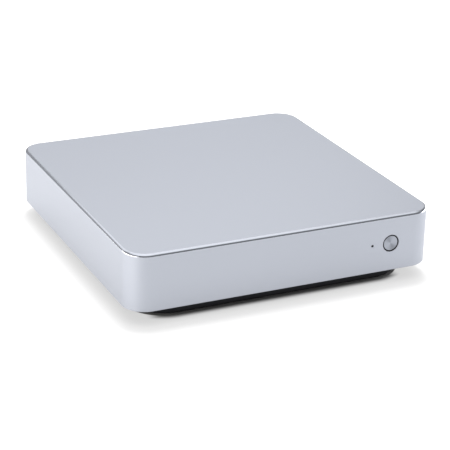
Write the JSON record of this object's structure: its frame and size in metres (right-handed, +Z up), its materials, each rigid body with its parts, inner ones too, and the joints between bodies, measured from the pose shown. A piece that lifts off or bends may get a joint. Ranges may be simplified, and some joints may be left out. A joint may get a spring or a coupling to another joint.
{
  "type": "karaoke machine",
  "caption": "Flat square karaoke player with a rounded aluminium cover on a set-back black base, a push button in front, a socket panel behind, and boards and a hard drive inside.",
  "frame": {"origin": "on the table under the middle of the whole outline, with the line sockets that stand out behind", "axes": "+X to the right seen from the front, +Y from the front to the back, +Z up"},
  "size_m": [0.19, 0.1986, 0.043],
  "materials": {
    "cover_metal": "bead-blasted satin anodised aluminium",
    "base_black": "black moulded plastic with a low sheen",
    "foot_rubber": "matt black rubber",
    "button_metal": "spun aluminium with fine turned rings",
    "inner_black": "matt black moulding",
    "plunger_grey": "grey nylon",
    "lens_smoke": "smoked clear plastic",
    "led_white": "white diode housing",
    "board_green": "green solder mask on glass-fibre laminate",
    "screw_steel": "zinc-plated steel",
    "panel_black": "fine-textured black moulding",
    "socket_black": "black connector plastic",
    "socket_metal": "nickel-plated connector metal",
    "contact_gold": "gold-plated contact",
    "line_white": "white connector plastic",
    "line_red": "red connector plastic",
    "chip_black": "moulded chip package",
    "pad_grey": "soft grey gap pad",
    "sink_black": "black anodised extrusion",
    "pin_white": "white nylon",
    "can_metal": "bright drawn aluminium",
    "ribbon_grey": "grey flat ribbon insulation",
    "drive_cast": "cast and machined aluminium",
    "drive_steel": "zinc-plated sheet steel"
  },
  "bodies": {
    "case": {"top_cover": "cover_metal", "base_tray": "base_black", "foot_pads": "foot_rubber", "cover_screws": "screw_steel", "button_guide": "inner_black", "switch_body": "inner_black", "status_lens": "lens_smoke", "status_led": "led_white", "front_board": "board_green", "front_screws": "screw_steel", "rear_panel": "panel_black", "dc_jack_body": "socket_black", "dc_jack_pin": "socket_metal", "lan_shell": "socket_metal", "lan_insert": "socket_black", "lan_contacts": "contact_gold", "usb_shell": "socket_metal", "usb_tongues": "socket_black", "hdmi_shell": "socket_metal", "hdmi_insert": "socket_black", "line_housings": "socket_black", "line_sleeves": "socket_metal", "line_core_left": "line_white", "line_core_right": "line_red", "mic_jacks": "socket_black", "mic_nuts": "socket_metal", "main_board": "board_green", "board_screws": "screw_steel", "processor": "chip_black", "thermal_pad": "pad_grey", "heat_sink": "sink_black", "heat_sink_pins": "pin_white", "memory_chips": "chip_black", "capacitors": "can_metal", "power_coils": "chip_black", "audio_chips": "chip_black", "radio_module": "board_green", "radio_shield": "can_metal", "lead_headers": "inner_black", "lead_plugs": "inner_black", "ribbon_lead": "ribbon_grey", "drive_case": "drive_cast", "drive_lid": "drive_steel", "drive_board": "board_green", "drive_bracket": "drive_steel", "bracket_screws": "screw_steel", "drive_screws": "screw_steel", "drive_socket": "inner_black"},
    "button": {"power_button": "button_metal", "button_carrier": "inner_black"},
    "plunger": {"switch_plunger": "plunger_grey"}
  },
  "joints": [
    {"name": "button_press", "type": "slide", "parent": "case", "child": "button", "axis": [0, 1, 0], "range_m": [0, 0.0005], "stiffness_N_per_m": 1000, "springref_m": -0.001},
    {"name": "switch_press", "type": "slide", "parent": "case", "child": "plunger", "axis": [0, 1, 0], "range_m": [0, 0.0005]}
  ],
  "couplings": [
    {"joint": "switch_press", "follows": "button_press", "ratio": 1}
  ]
}
